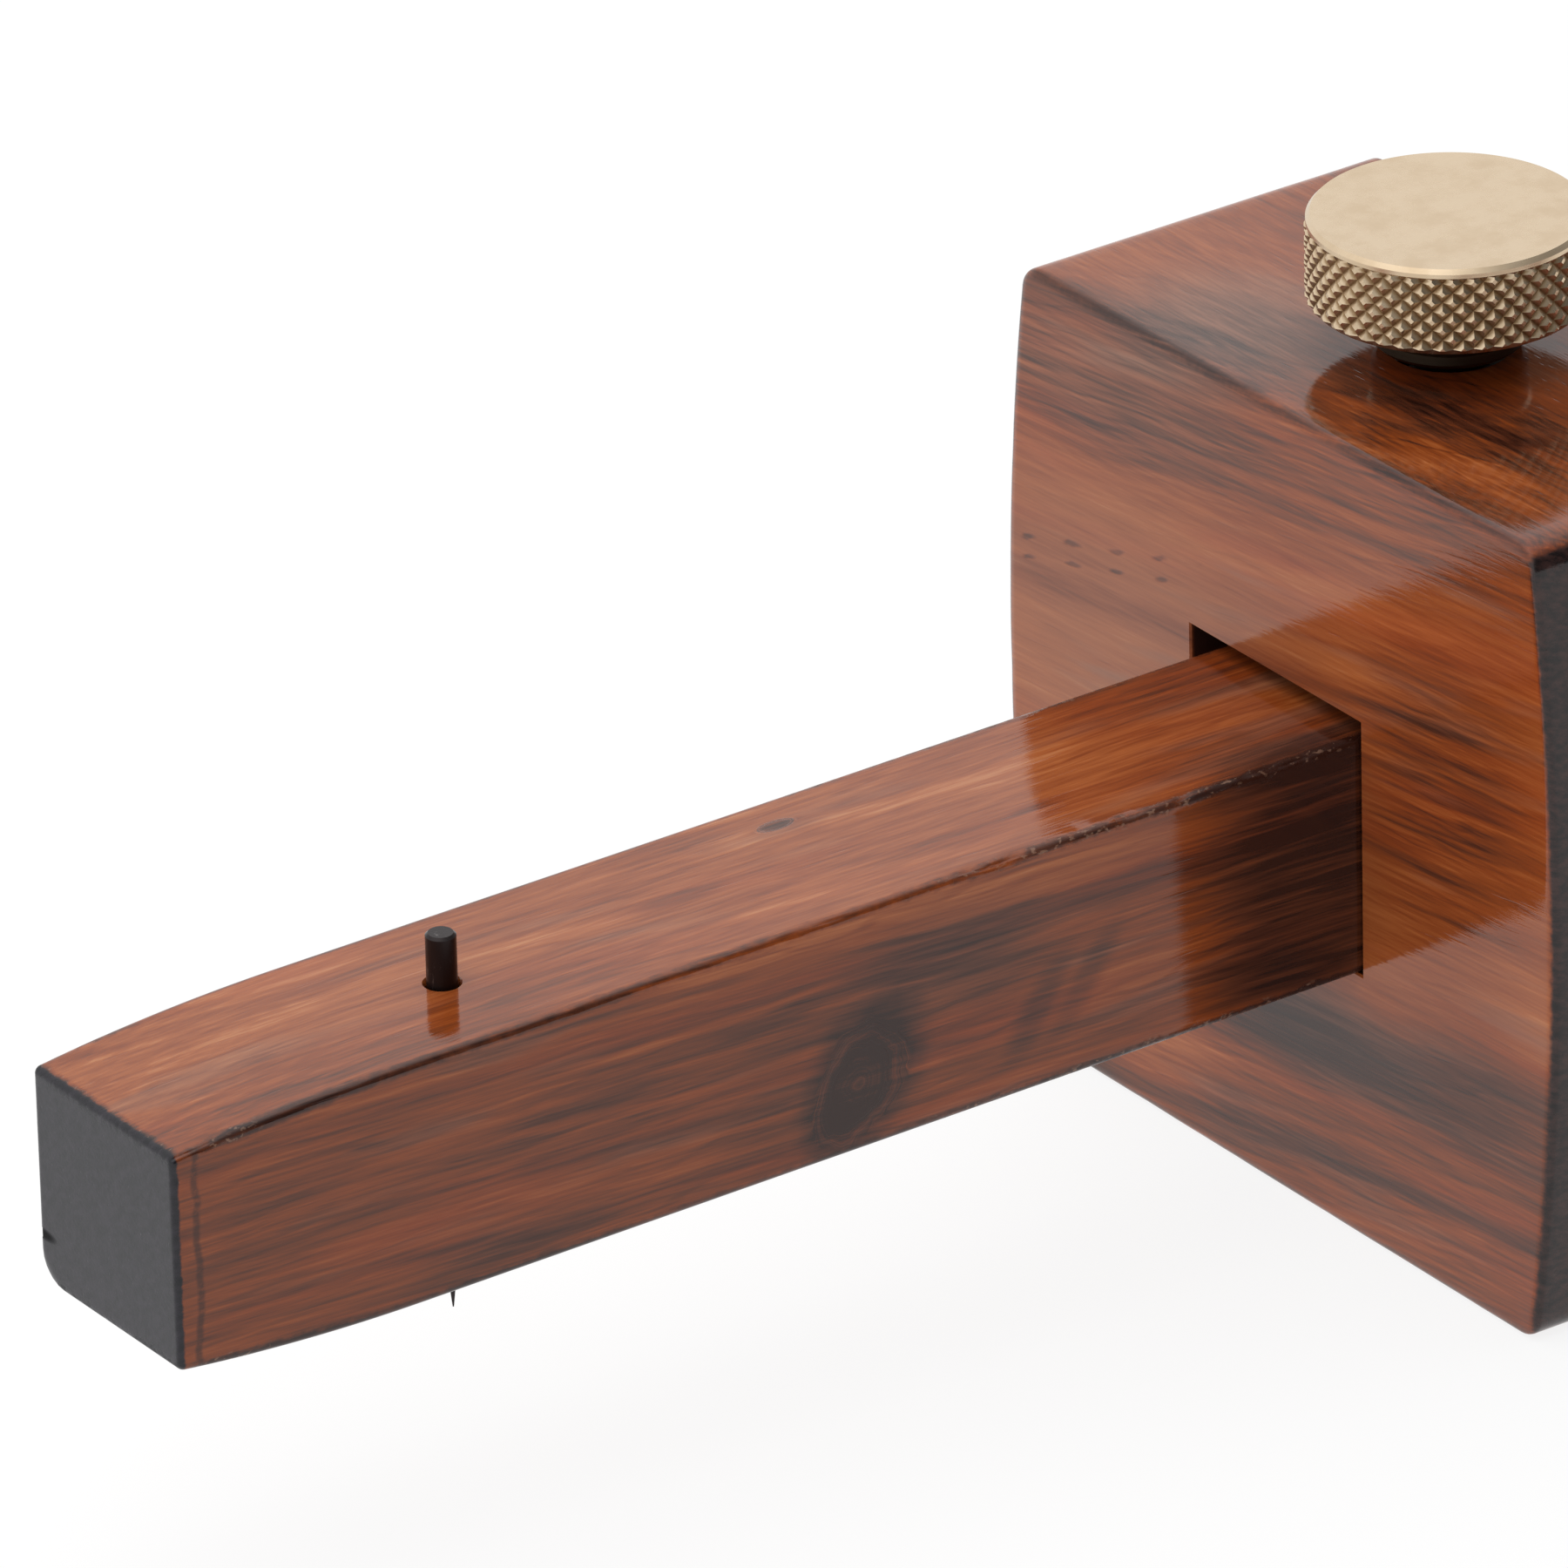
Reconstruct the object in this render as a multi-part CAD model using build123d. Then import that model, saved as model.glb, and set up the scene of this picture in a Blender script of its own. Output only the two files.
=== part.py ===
from build123d import *

import math
import os

# Wooden marking gauge. A square beam carries a scribing pin near one end and slides through a
# mortised fence. A knurled thumbscrew in the top of the fence clamps the beam through a brass shoe.
#
# Frame: millimetres, +Z up. The origin is the centre of the fence's flat base. The beam runs along X,
# with its pin towards -X. The fence's working face looks along -X. The thumbscrew's axis is +Z.
# Everything is at its clamped rest place.

# ---- driving dimensions -------------------------------------------------------------------------

# fence
FENCE_HEIGHT = 62.5
FENCE_EDGE_WIDTH = 60.0  # across the flat top and across the flat base
FENCE_BELLY = 2.5  # how far each side swells past the edge width at mid height
FENCE_THICKNESS = 31.5
FENCE_CORNER_RADIUS = 1.8  # between the top or base and the bellied sides
FENCE_ARRIS_RADIUS = 0.6  # round the working face and the back face

# beam
BEAM_WIDTH = 18.0
BEAM_HEIGHT = 18.8
BEAM_LENGTH = 200.0
BEAM_ARRIS_RADIUS = 0.6
BEAM_BACK_ARRIS_RADIUS = 2.8  # the lower arris on the +Y side
BEAM_END_RADIUS = 0.5
END_EASING_LENGTH = 20.0  # over which each end narrows
END_DROP = 1.1  # how much the top and the bottom come in at each end
END_PINCH = 0.35  # how much the sides come in at each end

# play of the beam in the fence's mortise, with the beam against its floor and its -Y wall
MORTISE_FLOOR_GAP = 0.05
MORTISE_ROOF_GAP = 1.25
MORTISE_NEAR_GAP = 0.2  # at the -Y wall
MORTISE_FAR_GAP = 1.9  # at the +Y wall

# scribing pin
PIN_RADIUS = 1.1
PIN_FROM_END = 28.1
PIN_TO_FENCE = 72.5  # from the pin's axis to the working face at rest
PIN_OFFSET = 0.2  # from the beam's middle towards -Y
PIN_ABOVE_BEAM = 3.9
PIN_BELOW_BEAM = 6.6
PIN_NEEDLE_LENGTH = 3.0  # the finely ground end
PIN_NEEDLE_RADIUS = 0.35  # where the needle meets the cone above it
PIN_CONE_LENGTH = 3.4
PIN_TIP_RADIUS = 0.05
PIN_HEAD_CHAMFER = 0.2

# thumbscrew
KNOB_RADIUS = 10.25
KNOB_THICKNESS = 6.6
KNOB_CHAMFER = 0.4
NECK_RADIUS = 5.6
NECK_LENGTH = 3.35
NECK_GAP = 0.6  # between the neck and the fence's top at rest
SOCKET_DEPTH = 7.0  # blind hole in the knob that takes the stud
SOCKET_AIR = 0.3  # left above the stud's end
STUD_RADIUS = 3.0
STUD_CHAMFER = 0.4
THREAD_PITCH = 1.0
SCREW_TURNS = 2.0  # from clamped to fully slack
RUNNING_CLEARANCE = 0.05

# pressure shoe, which swivels on the stud's riveted end
SHOE_SIDE = 14.0
SHOE_THICKNESS = 2.0
SHOE_CHAMFER = 0.3
SHOE_SIDE_PLAY = 0.2
SHOE_BEAM_GAP = 0.02
SHOE_HEADROOM = 0.3  # above the shoe when the screw is fully slack
SPIGOT_RADIUS = 1.8
RIVET_RADIUS = 2.6
RIVET_THICKNESS = 0.6
COUNTERBORE_RADIUS = 3.0
COUNTERBORE_DEPTH = 0.9
SWIVEL_PLAY = 0.04  # end play between the stud and the shoe

# threaded insert
INSERT_RADIUS = 4.5
INSERT_LENGTH = 12.0
INSERT_SINK = 0.2  # below the fence's top
INSERT_GROOVE_DEPTH = 0.4
INSERT_GROOVE_WIDTH = 1.2
INSERT_GROOVES = 4
DRIVER_SLOT_WIDTH = 1.2
DRIVER_SLOT_DEPTH = 1.5
STUD_HOLE_CLEARANCE = 0.4  # round the stud in the wood below the insert

# ---- places that follow from them ----------------------------------------------------------------

working_face_x = -FENCE_THICKNESS / 2
mortise_width = MORTISE_NEAR_GAP + BEAM_WIDTH + MORTISE_FAR_GAP
mortise_height = MORTISE_FLOOR_GAP + BEAM_HEIGHT + MORTISE_ROOF_GAP
mortise_floor = (FENCE_HEIGHT - mortise_height) / 2
mortise_roof = mortise_floor + mortise_height

beam_front = working_face_x - PIN_TO_FENCE - PIN_FROM_END
beam_centre_x = beam_front + BEAM_LENGTH / 2
beam_centre_y = -mortise_width / 2 + MORTISE_NEAR_GAP + BEAM_WIDTH / 2
beam_bottom = mortise_floor + MORTISE_FLOOR_GAP
beam_top = beam_bottom + BEAM_HEIGHT
beam_centre_z = (beam_bottom + beam_top) / 2
pin_x = beam_front + PIN_FROM_END
pin_y = beam_centre_y - PIN_OFFSET

shoe_bottom = beam_top + SHOE_BEAM_GAP
shoe_top = shoe_bottom + SHOE_THICKNESS
web_bottom = shoe_bottom + COUNTERBORE_DEPTH
pocket_roof = shoe_top + SCREW_TURNS * THREAD_PITCH + SHOE_HEADROOM

insert_top = FENCE_HEIGHT - INSERT_SINK
insert_bottom = insert_top - INSERT_LENGTH
neck_bottom = FENCE_HEIGHT + NECK_GAP
knob_bottom = neck_bottom + NECK_LENGTH
knob_top = knob_bottom + KNOB_THICKNESS
stud_top = neck_bottom + SOCKET_DEPTH - SOCKET_AIR


def turned(*points):
    """Solid of revolution about +Z from an outline given as (radius, height) points."""
    outline = make_face(Plane.XZ * Polyline(*points, close=True))
    return revolve(outline, Axis.Z)


def rod(radius, bottom, top):
    """Plain upright cylinder on the thumbscrew's axis."""
    return Pos(0, 0, bottom) * Cylinder(
        radius, top - bottom, align=(Align.CENTER, Align.CENTER, Align.MIN)
    )


def make_fence():
    """Hardwood block with bellied sides, the beam's mortise, the shoe's pocket and the insert's seat."""
    half = FENCE_EDGE_WIDTH / 2
    left = ThreePointArc(
        (-half, 0), (-half - FENCE_BELLY, FENCE_HEIGHT / 2), (-half, FENCE_HEIGHT)
    )
    right = ThreePointArc(
        (half, 0), (half + FENCE_BELLY, FENCE_HEIGHT / 2), (half, FENCE_HEIGHT)
    )
    base = Line((-half, 0), (half, 0))
    top = Line((-half, FENCE_HEIGHT), (half, FENCE_HEIGHT))
    outline = make_face(Plane.YZ * (left + right + base + top))
    block = extrude(outline, FENCE_THICKNESS / 2, both=True)

    corners = block.edges().filter_by(Axis.X)
    block = fillet(corners, FENCE_CORNER_RADIUS)
    for face in (block.faces().sort_by(Axis.X)[0], block.faces().sort_by(Axis.X)[-1]):
        rim = [e for e in block.edges() if abs(e.center().X - face.center().X) < 1e-6]
        block = fillet(rim, FENCE_ARRIS_RADIUS)

    mortise = Pos(0, 0, (mortise_floor + mortise_roof) / 2) * Box(
        FENCE_THICKNESS * 2, mortise_width, mortise_height
    )
    pocket_side = SHOE_SIDE + 2 * SHOE_SIDE_PLAY
    pocket = Pos(0, 0, (beam_centre_z + pocket_roof) / 2) * Box(
        pocket_side, pocket_side, pocket_roof - beam_centre_z
    )
    stud_hole = rod(STUD_RADIUS + STUD_HOLE_CLEARANCE, beam_centre_z, insert_bottom + 1)
    insert_seat = rod(INSERT_RADIUS, insert_bottom, FENCE_HEIGHT + 1)
    return block - mortise - pocket - stud_hole - insert_seat


def eased_outline(half_height, drop):
    """Closed outline of the beam's length, whose two ends come in by drop along tangent arcs."""
    full = BEAM_LENGTH / 2
    straight = full - END_EASING_LENGTH
    end_height = half_height - drop
    sides = []
    for up in (1, -1):
        sides += [Line((-straight, up * half_height), (straight, up * half_height))]
        for way in (1, -1):
            sides += [
                TangentArc(
                    (way * straight, up * half_height),
                    (way * full, up * end_height),
                    tangent=(way, 0),
                )
            ]
    ends = [Line((way * full, -end_height), (way * full, end_height)) for way in (1, -1)]
    return Curve() + sides + ends


def make_beam():
    """Square hardwood bar, eased in at both ends, with the pin's hole through it."""
    side_view = make_face(Plane.XZ * eased_outline(BEAM_HEIGHT / 2, END_DROP))
    top_view = make_face(Plane.XY * eased_outline(BEAM_WIDTH / 2, END_PINCH))
    bar = extrude(side_view, BEAM_WIDTH, both=True) & extrude(top_view, BEAM_HEIGHT, both=True)

    def is_arris(edge):
        return edge.bounding_box().size.X > END_EASING_LENGTH / 2

    def is_back_lower(edge):
        return edge.center().Y > 0 and edge.center().Z < 0

    back_lower = [e for e in bar.edges() if is_arris(e) and is_back_lower(e)]
    bar = fillet(back_lower, BEAM_BACK_ARRIS_RADIUS)
    on_the_flats = (BEAM_WIDTH / 2, BEAM_HEIGHT / 2)
    others = [
        e
        for e in bar.edges()
        if is_arris(e)
        and not is_back_lower(e)
        and abs(e.center().Y) > on_the_flats[0] - END_DROP
        and abs(e.center().Z) > on_the_flats[1] - END_DROP
    ]
    bar = fillet(others, BEAM_ARRIS_RADIUS)
    for end in (-1, 1):
        rim = [e for e in bar.edges() if abs(e.center().X - end * BEAM_LENGTH / 2) < 1e-6]
        bar = fillet(rim, BEAM_END_RADIUS)

    bar = Pos(beam_centre_x, beam_centre_y, beam_centre_z) * bar
    pin_hole = Pos(pin_x, pin_y, beam_centre_z) * Cylinder(PIN_RADIUS, 2 * BEAM_HEIGHT)
    return bar - pin_hole


def make_scribing_pin():
    """Steel pin pressed through the beam, flat above and ground to a long point below."""
    tip = beam_bottom - PIN_BELOW_BEAM
    head = beam_top + PIN_ABOVE_BEAM
    pin = turned(
        (0, tip),
        (PIN_TIP_RADIUS, tip),
        (PIN_NEEDLE_RADIUS, tip + PIN_NEEDLE_LENGTH),
        (PIN_RADIUS, tip + PIN_NEEDLE_LENGTH + PIN_CONE_LENGTH),
        (PIN_RADIUS, head - PIN_HEAD_CHAMFER),
        (PIN_RADIUS - PIN_HEAD_CHAMFER, head),
        (0, head),
    )
    return Pos(pin_x, pin_y, 0) * pin


def make_threaded_insert():
    """Grooved brass bush set in the fence's top, which carries the thumbscrew's thread."""
    body = rod(INSERT_RADIUS, insert_bottom, insert_top)
    spacing = INSERT_LENGTH / (INSERT_GROOVES + 1)
    for i in range(1, INSERT_GROOVES + 1):
        middle = insert_bottom + i * spacing
        low, high = middle - INSERT_GROOVE_WIDTH / 2, middle + INSERT_GROOVE_WIDTH / 2
        ring = rod(INSERT_RADIUS + 1, low, high) - rod(
            INSERT_RADIUS - INSERT_GROOVE_DEPTH, low, high
        )
        body -= ring
    bore = rod(STUD_RADIUS + RUNNING_CLEARANCE, insert_bottom - 1, insert_top + 1)
    slot = Pos(0, 0, insert_top) * Box(
        INSERT_RADIUS * 3, DRIVER_SLOT_WIDTH, 2 * DRIVER_SLOT_DEPTH
    )
    return body - bore - slot


def make_thumbscrew_stud():
    """Threaded stud, pressed in the knob above and riveted through the shoe below."""
    rivet_top = web_bottom - SWIVEL_PLAY
    rivet_bottom = rivet_top - RIVET_THICKNESS
    shoulder = shoe_top + SWIVEL_PLAY
    return turned(
        (0, rivet_bottom),
        (RIVET_RADIUS - RIVET_THICKNESS / 2, rivet_bottom),
        (RIVET_RADIUS, rivet_bottom + RIVET_THICKNESS / 2),
        (RIVET_RADIUS, rivet_top),
        (SPIGOT_RADIUS, rivet_top),
        (SPIGOT_RADIUS, shoulder),
        (STUD_RADIUS - STUD_CHAMFER, shoulder),
        (STUD_RADIUS, shoulder + STUD_CHAMFER),
        (STUD_RADIUS, stud_top - STUD_CHAMFER),
        (STUD_RADIUS - STUD_CHAMFER, stud_top),
        (0, stud_top),
    )


def make_thumbscrew_knob():
    """Round brass knob with a neck, bored blind from below for the stud."""
    socket_top = neck_bottom + SOCKET_DEPTH
    return turned(
        (STUD_RADIUS, neck_bottom),
        (NECK_RADIUS - KNOB_CHAMFER, neck_bottom),
        (NECK_RADIUS, neck_bottom + KNOB_CHAMFER),
        (NECK_RADIUS, knob_bottom),
        (KNOB_RADIUS - KNOB_CHAMFER, knob_bottom),
        (KNOB_RADIUS, knob_bottom + KNOB_CHAMFER),
        (KNOB_RADIUS, knob_top - KNOB_CHAMFER),
        (KNOB_RADIUS - KNOB_CHAMFER, knob_top),
        (0, knob_top),
        (0, socket_top),
        (STUD_RADIUS, socket_top),
    )


def make_pressure_shoe():
    """Square brass plate that presses on the beam, with a counterbore for the stud's riveted end."""
    plate = Pos(0, 0, (shoe_bottom + shoe_top) / 2) * Box(SHOE_SIDE, SHOE_SIDE, SHOE_THICKNESS)
    plate = chamfer(plate.edges().filter_by(Axis.Z), SHOE_CHAMFER)
    hole = rod(SPIGOT_RADIUS + RUNNING_CLEARANCE, shoe_bottom - 1, shoe_top + 1)
    counterbore = rod(COUNTERBORE_RADIUS, shoe_bottom - 1, web_bottom)
    return plate - hole - counterbore


os.makedirs("parts", exist_ok=True)
nodes = {
    "fence": make_fence(),
    "beam": make_beam(),
    "scribing_pin": make_scribing_pin(),
    "threaded_insert": make_threaded_insert(),
    "thumbscrew_stud": make_thumbscrew_stud(),
    "thumbscrew_knob": make_thumbscrew_knob(),
    "pressure_shoe": make_pressure_shoe(),
}
for name, solid in nodes.items():
    export_step(solid, f"parts/{name}.step")

travel_to_fence = PIN_TO_FENCE - PIN_RADIUS
travel_to_rear = BEAM_LENGTH - PIN_FROM_END - PIN_TO_FENCE - FENCE_THICKNESS
lead_per_radian = THREAD_PITCH / (2 * math.pi)
print(f"beam travel: {travel_to_fence:.1f} mm until the pin meets the fence")
print(f"beam travel: {travel_to_rear:.1f} mm until the rear end is flush with the fence's back")
print(f"screw lead: {lead_per_radian:.6f} mm per radian, {SCREW_TURNS:g} turns")
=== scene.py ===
"""Looks of a rosewood marking gauge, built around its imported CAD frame.

Sizes in the classes are millimetres, in the frame's own axes: the origin is the centre of the fence's flat
base, +Z is up, and the scribing pin is towards -X. Meshes and materials are turned to metres at the end.
"""

import logging
import math
from collections.abc import Callable, Iterable
from dataclasses import dataclass
from enum import Enum

import bmesh
import bpy
from mathutils import Matrix, Vector, noise


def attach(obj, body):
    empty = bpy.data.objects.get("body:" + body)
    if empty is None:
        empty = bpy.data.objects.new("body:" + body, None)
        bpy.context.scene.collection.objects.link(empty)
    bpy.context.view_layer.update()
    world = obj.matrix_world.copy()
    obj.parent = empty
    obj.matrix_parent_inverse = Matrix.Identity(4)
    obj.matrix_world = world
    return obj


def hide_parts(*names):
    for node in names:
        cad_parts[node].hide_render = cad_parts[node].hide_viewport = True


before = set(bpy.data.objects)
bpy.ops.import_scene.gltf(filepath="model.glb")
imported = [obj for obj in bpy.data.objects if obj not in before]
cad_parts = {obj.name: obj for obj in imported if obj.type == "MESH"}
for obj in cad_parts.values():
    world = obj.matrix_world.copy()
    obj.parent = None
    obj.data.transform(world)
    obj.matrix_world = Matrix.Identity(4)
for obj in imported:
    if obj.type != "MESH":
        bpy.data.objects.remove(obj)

MM = 0.001
log = logging.getLogger("marking_gauge")

Point = tuple[float, float, float]
Colour = tuple[float, float, float]
Pair = tuple[float, float]
Mesh = bmesh.types.BMesh
Look = bpy.types.Material


class Axis(Enum):
    """A direction of the frame, as an index into a point."""

    X = 0
    Y = 1
    Z = 2

    @property
    def direction(self) -> Vector:
        """The unit vector along the axis."""
        return Vector([float(i == self.value) for i in range(3)])


# ---- shader maths ----


class Signal:
    """The output of a shader node, with the arithmetic of a number."""

    def __init__(self, graph: "Graph", socket: bpy.types.NodeSocket) -> None:
        """Wraps an output socket of one of a graph's nodes."""
        self.graph = graph
        self.socket = socket

    def __add__(self, other: "Value") -> "Signal":
        """Sum."""
        return self.graph.math("ADD", self, other)

    def __radd__(self, other: "Value") -> "Signal":
        """Sum."""
        return self.graph.math("ADD", other, self)

    def __sub__(self, other: "Value") -> "Signal":
        """Difference."""
        return self.graph.math("SUBTRACT", self, other)

    def __rsub__(self, other: "Value") -> "Signal":
        """Difference."""
        return self.graph.math("SUBTRACT", other, self)

    def __mul__(self, other: "Value") -> "Signal":
        """Product."""
        return self.graph.math("MULTIPLY", self, other)

    def __rmul__(self, other: "Value") -> "Signal":
        """Product."""
        return self.graph.math("MULTIPLY", other, self)

    def __truediv__(self, other: "Value") -> "Signal":
        """Quotient."""
        return self.graph.math("DIVIDE", self, other)

    def __abs__(self) -> "Signal":
        """Size without sign."""
        return self.graph.math("ABSOLUTE", self)


Value = float | Signal


class Graph:
    """A node tree that is written as expressions."""

    def __init__(self, tree: bpy.types.NodeTree) -> None:
        """Empties a material's or the world's node tree and takes it over."""
        self.tree = tree
        tree.nodes.clear()

    def node(
        self, kind: str, settings: dict[str, object], sockets: dict[int | str, object],
        out: int | str = 0,
    ) -> Signal:
        """Adds a node.

        Args:
            kind: The node's type.
            settings: Its own settings. A ramp's stops go under "stops".
            sockets: Values or signals for its inputs.
            out: The output that is wanted.

        Returns:
            The wanted output.
        """
        made = self.tree.nodes.new(kind)
        for name, value in settings.items():
            if name == "stops":
                self._set_stops(made.color_ramp, value)
            else:
                setattr(made, name, value)
        for key, value in sockets.items():
            if isinstance(value, Signal):
                self.tree.links.new(value.socket, made.inputs[key])
            else:
                made.inputs[key].default_value = value
        return Signal(self, made.outputs[out])

    def _set_stops(self, ramp: bpy.types.ColorRamp, stops: Iterable[tuple[float, Colour]]) -> None:
        """Lays out a ramp.

        Args:
            ramp: The node's colour ramp.
            stops: Places from 0 to 1, in order, and their colours.
        """
        stops = tuple(stops)
        while len(ramp.elements) < len(stops):
            ramp.elements.new(1.0)
        for element, (place, colour) in zip(ramp.elements, stops):
            element.position = place
            element.color = (*colour, 1.0)

    def math(self, operation: str, *values: Value) -> Signal:
        """Adds a Math node on one to three values."""
        return self.node("ShaderNodeMath", {"operation": operation}, dict(enumerate(values)))

    def least(self, first: Value, second: Value) -> Signal:
        """The smaller of two values."""
        return self.math("MINIMUM", first, second)

    def rise(self, value: Value, low: float, high: float) -> Signal:
        """A smooth step.

        Args:
            value: What the step follows.
            low: Where it is 0.
            high: Where it is 1. It may be below low, for a step down.

        Returns:
            A value from 0 to 1.
        """
        settings = {"interpolation_type": "SMOOTHSTEP", "clamp": True}
        if low <= high:
            return self.node("ShaderNodeMapRange", settings, {0: value, 1: low, 2: high})
        return 1.0 - self.rise(value, high, low)

    def place(self) -> tuple[Signal, Signal, Signal]:
        """The surface's place in the frame, in millimetres."""
        coordinates = self.node("ShaderNodeTexCoord", {}, {}, "Object")
        scaled = self.node(
            "ShaderNodeVectorMath", {"operation": "SCALE"}, {0: coordinates, "Scale": 1 / MM}
        )
        return self.parts(scaled)

    def parts(self, vector: Signal) -> tuple[Signal, Signal, Signal]:
        """The three numbers of a vector."""
        first = self.node("ShaderNodeSeparateXYZ", {}, {0: vector})
        outputs = first.socket.node.outputs
        return first, Signal(self, outputs[1]), Signal(self, outputs[2])

    def join(self, x: Value, y: Value, z: Value) -> Signal:
        """A vector from three numbers."""
        return self.node("ShaderNodeCombineXYZ", {}, {0: x, 1: y, 2: z})

    def length(self, x: Value, y: Value, z: Value = 0.0) -> Signal:
        """How far a point is from the origin."""
        vector = self.join(x, y, z)
        return self.node("ShaderNodeVectorMath", {"operation": "LENGTH"}, {0: vector}, "Value")

    def cloud(
        self, x: Value, y: Value, z: Value, detail: float = 2.0, roughness: float = 0.5
    ) -> Signal:
        """Noise about 0.5 whose blobs are one unit across."""
        sockets = {"Vector": self.join(x, y, z), "Scale": 1.0, "Detail": detail, "Roughness": roughness}
        return self.node("ShaderNodeTexNoise", {"noise_dimensions": "3D"}, sockets)

    def ramp(self, value: Value, stops: Iterable[tuple[float, Colour]]) -> Signal:
        """A colour that follows a value from 0 to 1."""
        return self.node("ShaderNodeValToRGB", {"stops": stops}, {0: value})

    def mix(
        self, share: Value, first: Signal | Colour, second: Signal | Colour, blend: str = "MIX"
    ) -> Signal:
        """Blends two colours.

        Args:
            share: How much of the second colour there is.
            first: The colour at share 0.
            second: The colour at share 1.
            blend: How the second colour is laid on the first.

        Returns:
            The blended colour.
        """
        colours = [c if isinstance(c, Signal) else (*c, 1.0) for c in (first, second)]
        settings = {"data_type": "RGBA", "blend_type": blend}
        return self.node("ShaderNodeMix", settings, {0: share, 6: colours[0], 7: colours[1]}, 2)

    def bump(self, height: Value, depth: float) -> Signal:
        """A surface normal from a height of 0 to 1, over a depth in millimetres."""
        return self.node("ShaderNodeBump", {}, {"Height": height, "Distance": depth * MM}, "Normal")

    def surface(self, sockets: dict[int | str, object], kind: str = "ShaderNodeBsdfPrincipled") -> None:
        """Ends the graph in a shader.

        Args:
            sockets: Values or signals for the shader's inputs.
            kind: The shader node's type.
        """
        shader = self.node(kind, {}, sockets)
        end = "World" if kind == "ShaderNodeBackground" else "Material"
        output = self.tree.nodes.new(f"ShaderNodeOutput{end}")
        self.tree.links.new(shader.socket, output.inputs["Surface"])


def new_material(name: str) -> tuple[Look, Graph]:
    """An empty material and its graph."""
    material = bpy.data.materials.new(name)
    material.use_nodes = True
    return material, Graph(material.node_tree)


# ---- finishes ----


@dataclass(frozen=True)
class Knot:
    """An oval knot that the grain flows round.

    Its centre is (along X, the other way on its face), and it fades away behind its face.
    """

    face: Axis
    side: float
    centre: Pair
    radii: Pair
    depth: float
    darkness: float
    reach: float = 1.0


@dataclass(frozen=True)
class Blot:
    """A soft patch that is darker or paler, greyer, or more strongly figured. It may lean along X."""

    centre: Point
    radii: Point
    tone: float
    grey: float = 0.0
    figure: float = 0.0
    lean: float = 0.0


@dataclass(frozen=True)
class PoreRow:
    """A row of open pores along a growth layer of the working face."""

    height: float
    slope: float
    spacing: float
    pore: Pair
    span: Pair


@dataclass(frozen=True)
class Band:
    """The look of one growth layer: its tone from 0 to 1, and how strongly it is figured."""

    at: float
    tone: float
    figure: float


@dataclass(frozen=True)
class Place:
    """Where the surface is, in one material's graph, in the frame and in the grain's directions."""

    g: Graph
    x: Signal
    y: Signal
    z: Signal
    along: Signal
    across: Signal


@dataclass(frozen=True)
class WoodSpots:
    """Masks of where a block's surface is, for one graph, and of the painted shade inside its mortise."""

    arris: Signal
    worn: Value
    sealed: Signal
    line: Value
    inside: Value


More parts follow.
